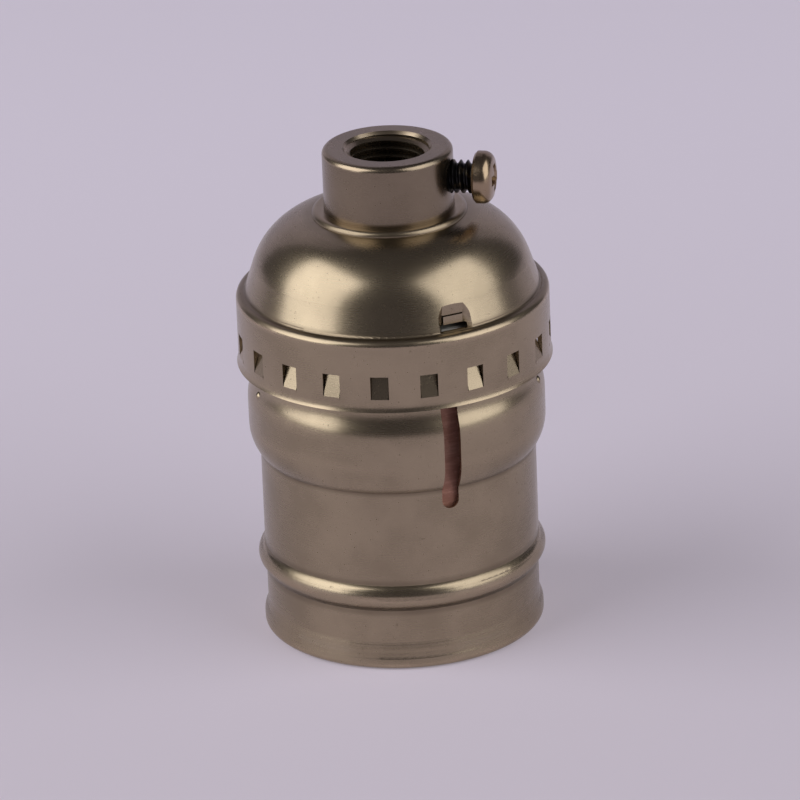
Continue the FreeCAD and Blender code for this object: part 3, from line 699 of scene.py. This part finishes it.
@dataclass(frozen=True)
class CrossRecess:
    """The cross in a screw's head, as shares of the head's radius and rise."""

    reach: float = 0.55
    width: float = 0.2
    depth: float = 0.62
    floor_reach: float = 0.55
    mouth_reach: float = 1.08
    floor_width: float = 0.7
    above: float = 0.3

    def cutter(self, head: float, rise: float) -> bmesh.types.BMesh:
        """The four wings of the recess, narrower at the floor than at the mouth.

        Args:
            head: The head's radius in millimetres.
            rise: The head's height in millimetres.

        Returns:
            The mesh that the recess takes away.
        """
        bm = bmesh.new()
        for turn in (0.0, math.pi / 2):
            made = bmesh.ops.create_cube(bm, size=1.0)["verts"]
            for vert in made:
                low = vert.co.z < 0
                reach = 2 * head * self.reach * (self.floor_reach if low else self.mouth_reach)
                width = 2 * head * self.width * (self.floor_width if low else 1.0)
                level = rise - rise * self.depth if low else rise + self.above
                vert.co = Vector((vert.co.x * reach, vert.co.y * width, level))
            bmesh.ops.rotate(bm, verts=made, cent=(0, 0, 0), matrix=Matrix.Rotation(turn, 3, "Z"))
        return bm


@dataclass
class CrossScrew:
    """A pan-head screw with a cross recess and a cut thread, built along +Z from under its head.

    The shares are of the head's radius and rise, and of the shank's radius.
    """

    node: str
    seat: Matrix
    size: ScrewSize
    head_finish: bpy.types.Material
    thread_finish: bpy.types.Material
    slot: str
    recess: CrossRecess = CrossRecess()
    under_bevel: float = 0.12
    edge_height: float = 0.42
    edge_round: float = 0.5
    crown: tuple[tuple[float, float], ...] = ((0.42, 0.985), (0.2, 1.0), (0.0, 1.0))
    core_share: float = 0.78
    point_share: float = 0.3
    point_gap: float = 0.1
    crisp: float = 28.0

    def head_mesh(self) -> bmesh.types.BMesh:
        """The pan head with its tapered cross recess."""
        head, rise = self.size.head, self.size.rise
        under, edge, bend = rise * self.under_bevel, rise * self.edge_height, rise * self.edge_round
        outline: Profile = [(0.0, 0.0), (head - under, 0.0), (head, under), (head, edge)]
        outline += arc((head - bend, edge), bend, start=8, stop=78, parts=9)
        outline += [(head * across, rise * up) for across, up in self.crown]
        return cut(turned(outline, steps=72), self.recess.cutter(head, rise))

    def thread_mesh(self) -> bmesh.types.BMesh:
        """The shank's core with its thread wound on."""
        shank, length = self.size.shank, self.size.length
        core = shank * self.core_share
        point = core * self.point_share
        outline: Profile = [(0.0, -length), (core - point, -length), (core, point - length),
                            (core, 0.0), (0.0, 0.0)]
        bm = turned(outline, steps=48)
        tooth = Thread(root=core, crest=shank, pitch=self.size.pitch,
                       bottom=-length + self.point_gap, top=0.0)
        add_to(bm, tooth.build())
        return bm

    def build(self) -> None:
        """Make both pieces and put them in place of the plain screw."""
        head = self.head_mesh()
        bmesh.ops.transform(head, matrix=self.seat, verts=head.verts)
        piece = finish_mesh(head, self.node + "_head", self.head_finish, self.node, self.crisp)
        thread = self.thread_mesh()
        bmesh.ops.transform(thread, matrix=self.seat, verts=thread.verts)
        shank = finish_mesh(thread, self.node + "_thread", self.thread_finish, self.node, self.crisp)
        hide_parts(self.node)


# ------------------------------------------------------------------ the holder's own parts

@dataclass
class NeckThread:
    """The internal pipe thread of the neck."""

    bore: float = 5.0
    minor: float = 4.46
    pitch: float = 1.0
    bottom: float = 51.75
    top: float = 60.35
    hole_radius: float = 2.12
    hole_length: float = 4.0

    def screw_way(self) -> bmesh.types.BMesh:
        """The hole that the set screw passes through, along +X from inside the bore."""
        bm = bmesh.new()
        seat = Matrix.Translation((self.bore, 0, SET_SCREW_AXIS)) @ ALONG_X
        bmesh.ops.create_cone(bm, cap_ends=True, segments=48, radius1=self.hole_radius,
                              radius2=self.hole_radius, depth=self.hole_length, matrix=seat)
        return bm

    def build(self, finish: bpy.types.Material) -> None:
        """Wind the thread inside the neck."""
        tooth = Thread(root=self.bore, crest=self.minor, pitch=self.pitch,
                       bottom=self.bottom, top=self.top, steps=64)
        bm = cut(tooth.build(), self.screw_way())
        finish_mesh(bm, "neck_thread", finish, "cap")


@dataclass
class ShellPips:
    """The two small pressed pips under the cap's edge that find the shell its place."""

    angles: tuple[float, float] = (-149.5, -0.5)
    stand: float = 17.42
    width: float = 0.62
    rise: float = 0.3
    sunk: float = 0.3

    def build(self, finish: bpy.types.Material) -> None:
        """Set both pips on the shell's wall."""
        ball = (self.width ** 2 + self.rise ** 2) / (2 * self.rise)
        tilt = math.degrees(math.asin(min(1.0, self.width / ball)))
        pips = bmesh.new()
        for angle in self.angles:
            dome = arc((0.0, self.rise - ball), ball, start=90.0 - tilt, stop=90.0, parts=8)
            foot = [(0.0, -self.sunk), (self.width, -self.sunk)]
            pip = turned(foot + dome[:-1] + [(0.0, self.rise)], steps=32)
            seat = (Matrix.Rotation(math.radians(angle), 4, "Z")
                    @ Matrix.Translation((self.stand, 0, PIPS)) @ ALONG_X)
            bmesh.ops.transform(pip, matrix=seat, verts=pip.verts)
            add_to(pips, pip)
        finish_mesh(pips, "shell_pips", finish, "shell")


class Finish(Enum):
    """The named finishes of the parts that keep their own solids."""

    CAP = "cap"
    SHELL = "outer_shell"
    NECK = "neck_bushing"
    FIBRE = "fibre_sleeve"
    CERAMIC = "insulator_body"
    THREAD = "screw_shell"
    CONTACT = "centre_contact"
    RIVET = "rivet"
    PLATE = "plate"
    CLAMP = "clamp"


@dataclass
class Holder:
    """The lamp holder's parts, each with its finish."""

    frame: dict
    brass: Colour = (0.62, 0.42, 0.17)
    brass_tarnish: Colour = (0.33, 0.2, 0.08)
    set_screw: ScrewSize = ScrewSize(shank=2.0, length=5.2, head=3.15, rise=2.4, pitch=0.85)
    terminal_screw: ScrewSize = ScrewSize(shank=1.75, length=5.6, head=2.6, rise=2.2, pitch=0.6)
    paints: dict[Finish, bpy.types.Material] = field(default_factory=dict)

    def mix_paints(self) -> None:
        """Make every finish once."""
        self.paints = {
            # in the bronzes the recess rings paint shade into the grooves and creases, and the edge
            # rings paint highlight with wear onto the rounded edges
            Finish.CAP: AntiqueBronze(
                "cap_bronze",
                shaded_recesses=(Ring(BAND_GROOVE, 0.7, 0.8), Ring(HUB_FOOT, 0.7, 0.6)),
                edges=(Ring(BAND_ROUND, 0.7), Ring(CAP_LIP, 0.4), Ring(HUB_ROUND, 0.3))).paint(),
            Finish.SHELL: AntiqueBronze(
                "shell_bronze",
                shaded_recesses=(Ring(BEAD_FOOT, 0.7, 0.6), Ring(BEAD_HEAD, 0.7, 0.6),
                          Ring(SHELL_CREASE, 0.6, 0.7)),
                edges=(Ring(BEAD_CREST, 0.8), Ring(RIM_FLARE, 0.8), Ring(SHELL_SHOULDER, 1.2, 0.4)),
                forms=(CrispBead(BEAD, half=1.65, rise=0.8),
                       PlainFlare(low=0.5, high=3.4, rise=0.46, eased_low=1.35,
                                  eased_high=3.1))).paint(),
            # the neck's tint is the pressings' bronze darkened: painted shade for the dark dome it
            # reflects
            Finish.NECK: AntiqueBronze(
                "neck_bronze", tint=(0.26, 0.21, 0.15), shaded_recesses=(Ring(NECK_FOOT, 0.5),),
                edges=(Ring(NECK_EDGE, 0.5),), line_depth=0.005).paint(),
            Finish.FIBRE: VulcanFibre().paint(),
            Finish.CERAMIC: Porcelain().paint(),
            Finish.THREAD: BareMetal("rolled_brass", self.brass, self.brass_tarnish).paint(),
            Finish.CONTACT: BareMetal("spring_brass", (0.66, 0.45, 0.19), self.brass_tarnish,
                                      grain=(14.0, 1.0, 1.0)).paint(),
            Finish.RIVET: BareMetal("rivet_brass", (0.58, 0.4, 0.18), self.brass_tarnish,
                                    roughness=0.3).paint(),
            Finish.PLATE: BareMetal("plate_brass", (0.6, 0.43, 0.2), self.brass_tarnish,
                                    grain=(1.0, 16.0, 1.0)).paint(),
            Finish.CLAMP: BareMetal("zinc_plate", (0.55, 0.56, 0.55), (0.3, 0.3, 0.28),
                                    roughness=0.3, grain=(18.0, 1.0, 1.0)).paint()}

    def dress_nodes(self) -> None:
        """Give each part that keeps its own solid its finish."""
        for name, node in self.frame["nodes"].items():
            finish = self.finish_of(name)
            if finish is None:
                continue
            for slot in node.material_slots:
                slot.material = self.paints[finish]
            LOG.info("%s: %s", name, self.paints[finish].name)

    @staticmethod
    def finish_of(name: str) -> Optional[Finish]:
        """The finish of a part, or None where a dressed piece stands for it."""
        for finish in Finish:
            if name == finish.value or (finish.name in ("RIVET", "PLATE", "CLAMP")
                                        and name.endswith(finish.value)):
                return finish
        return None

    def screws(self) -> None:
        """Make the set screw and the two terminal screws."""
        head = AntiqueBronze("screw_head_bronze", tint=(0.37, 0.28, 0.185), roughness=0.25,
                             line_depth=0.005).paint()
        black = BlackedSteel("blacked_thread").paint()
        size = self.set_screw
        low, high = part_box("set_screw")
        middle = (low.z + high.z) / 2
        seat = Matrix.Translation((high.x / MM - size.rise, 0, middle / MM)) @ ALONG_X
        CrossScrew("set_screw", seat, size, head, black, "set_screw_steel").build()
        size = self.terminal_screw
        for node, tint, slot in (("live_terminal_screw", (0.64, 0.45, 0.2), "screw_brass"),
                                 ("neutral_terminal_screw", (0.6, 0.59, 0.56), "screw_nickel")):
            metal = BareMetal(node + "_metal", tint, tuple(c * 0.5 for c in tint), roughness=0.2,
                              grain=(1.0, 1.0, 10.0)).paint()
            low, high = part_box(node)
            seat = Matrix.Translation(((low.x + high.x) / 2 / MM, 0, high.z / MM - size.rise))
            CrossScrew(node, seat, size, metal, metal, slot).build()

    def build(self) -> None:
        """Dress the whole holder."""
        self.mix_paints()
        self.dress_nodes()
        NeckThread().build(self.paints[Finish.NECK])
        ShellPips().build(self.paints[Finish.SHELL])
        self.screws()


# ------------------------------------------------------------------ studio

@dataclass(frozen=True)
class Softbox:
    """A rectangular lamp that faces a point."""

    name: str
    azimuth: float
    brightness: float
    elevation: float = 31.0
    distance: float = 1.0
    width: float = 1.0
    height: float = 1.05
    colour: Colour = (1.0, 0.99, 1.0)

    def build(self, target: Vector) -> None:
        """Hang the lamp and turn it to the target."""
        light = bpy.data.lights.new(self.name, "AREA")
        light.shape = "RECTANGLE"
        light.size, light.size_y = self.width, self.height
        light.energy = self.brightness * math.pi * self.width * self.height
        light.color = self.colour
        lamp = bpy.data.objects.new(self.name, light)
        way = heading(self.azimuth, self.elevation)
        lamp.location = target + way * self.distance
        lamp.rotation_euler = way.to_track_quat("Z", "Y").to_euler()
        bpy.context.scene.collection.objects.link(lamp)


@dataclass
class Studio:
    """The floor, the lamps, the surroundings and the camera, which looks from the azimuth.

    Angles are in degrees. The zoom is for a camera that stands at the zoom distance.
    """

    azimuth: float = -78.0
    elevation: float = 22.28
    roll: float = 2.19
    distance: float = 800.0
    across: float = 0.39
    aim_height: float = 27.93
    zoom: float = 8.31
    zoom_distance: float = 800.0
    sensor: float = 36.0
    lit_height: float = 30.0
    left_turn: float = -72.0
    left_brightness: float = 2.4
    right_turn: float = 66.0
    right_brightness: float = 1.75
    floor_size: float = 3.0
    floor_gap: float = 0.05
    card_radius: float = 1.5
    dim: Colour = (0.07, 0.066, 0.074)
    pale: Colour = (0.55, 0.5, 0.6)

    def floor(self) -> None:
        """Lay the pale floor that the holder stands on."""
        bm = bmesh.new()
        bmesh.ops.create_grid(bm, x_segments=2, y_segments=2, size=self.floor_size,
                              matrix=Matrix.Translation((0, 0, -self.floor_gap * MM)))
        floor = self.covered(bm, StudioCard("studio_floor", one_sided=True))

    @staticmethod
    def covered(bm: bmesh.types.BMesh, finish: StudioCard) -> bpy.types.Object:
        """Make a part of the studio from a mesh, under its finish's name."""
        mesh = freed(bm, finish.name)
        mesh.materials.append(finish.paint())
        return shown(mesh)

    def card(self, name: str, start: float, sweep: float, rise: float) -> None:
        """Stand a pale curved card behind the holder, seen only as a reflection.

        Args:
            name: The card's name.
            start: Where it begins, in degrees from the camera's side.
            sweep: How many degrees it runs.
            rise: The elevation of its upper edge in degrees.
        """
        bm = bmesh.new()
        foot = bm.verts.new((self.card_radius, 0, 0.0))
        head = bm.verts.new((self.card_radius, 0, self.card_radius * math.tan(math.radians(rise))))
        edge = bm.edges.new((foot, head))
        bmesh.ops.rotate(bm, verts=bm.verts, cent=(0, 0, 0),
                         matrix=Matrix.Rotation(math.radians(self.azimuth + start), 3, "Z"))
        bmesh.ops.spin(bm, geom=[foot, head, edge], cent=(0, 0, 0), axis=(0, 0, 1), dvec=(0, 0, 0),
                       angle=math.radians(sweep), steps=24, use_merge=False, use_duplicate=False)
        card = self.covered(bm, StudioCard(name))

    def lamps(self) -> None:
        """Hang a softbox on either side of the camera."""
        target = Vector((0, 0, self.lit_height * MM))
        Softbox("left_softbox", self.azimuth + self.left_turn, self.left_brightness).build(target)
        Softbox("right_softbox", self.azimuth + self.right_turn, self.right_brightness).build(target)

    def surroundings(self) -> None:
        """Fill the world with a dim even light, and show it pale to the camera."""
        world = bpy.data.worlds.new("studio")
        bpy.context.scene.world = world
        world.use_nodes = True
        tree = world.node_tree
        back = tree.nodes["Background"]
        path = tree.nodes.new("ShaderNodeLightPath")
        mix = tree.nodes.new("ShaderNodeMix")
        mix.data_type = "RGBA"
        mix.inputs[6].default_value = (*self.dim, 1)
        mix.inputs[7].default_value = (*self.pale, 1)
        tree.links.new(path.outputs["Is Camera Ray"], mix.inputs[0])
        tree.links.new(mix.outputs[2], back.inputs["Color"])

    def camera(self) -> None:
        """Set the camera at the viewing angle."""
        around = math.radians(self.azimuth)
        back = heading(self.azimuth, self.elevation)
        right = Vector((-math.sin(around), math.cos(around), 0))
        top = back.cross(right)
        lean = math.radians(self.roll)
        x_axis = right * math.cos(lean) - top * math.sin(lean)
        y_axis = right * math.sin(lean) + top * math.cos(lean)
        aim = right * self.across * MM + Vector((0, 0, self.aim_height * MM))
        place = aim + back * self.distance * MM
        view = bpy.data.cameras.new("camera")
        view.sensor_width = self.sensor
        view.lens = self.sensor * self.zoom * self.distance / self.zoom_distance
        view.clip_start, view.clip_end = 0.01, 20.0
        camera = bpy.data.objects.new("camera", view)
        matrix = Matrix((x_axis, y_axis, back)).transposed().to_4x4()
        matrix.translation = place
        camera.matrix_world = matrix
        bpy.context.scene.collection.objects.link(camera)
        bpy.context.scene.camera = camera

    def build(self) -> None:
        """Set the whole studio."""
        self.floor()
        self.card("right_card", start=138.0, sweep=42.0, rise=40.0)
        self.card("left_card", start=180.0, sweep=42.0, rise=58.0)
        self.lamps()
        self.surroundings()
        self.camera()
        bpy.context.scene.view_settings.view_transform = "Standard"


def main() -> None:
    """Load the frame, dress it and set the studio."""
    logging.basicConfig(level=logging.INFO, format="%(name)s: %(message)s")
    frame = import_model()
    Studio().build()
    Holder(frame).build()


if __name__ == "__main__":
    main()
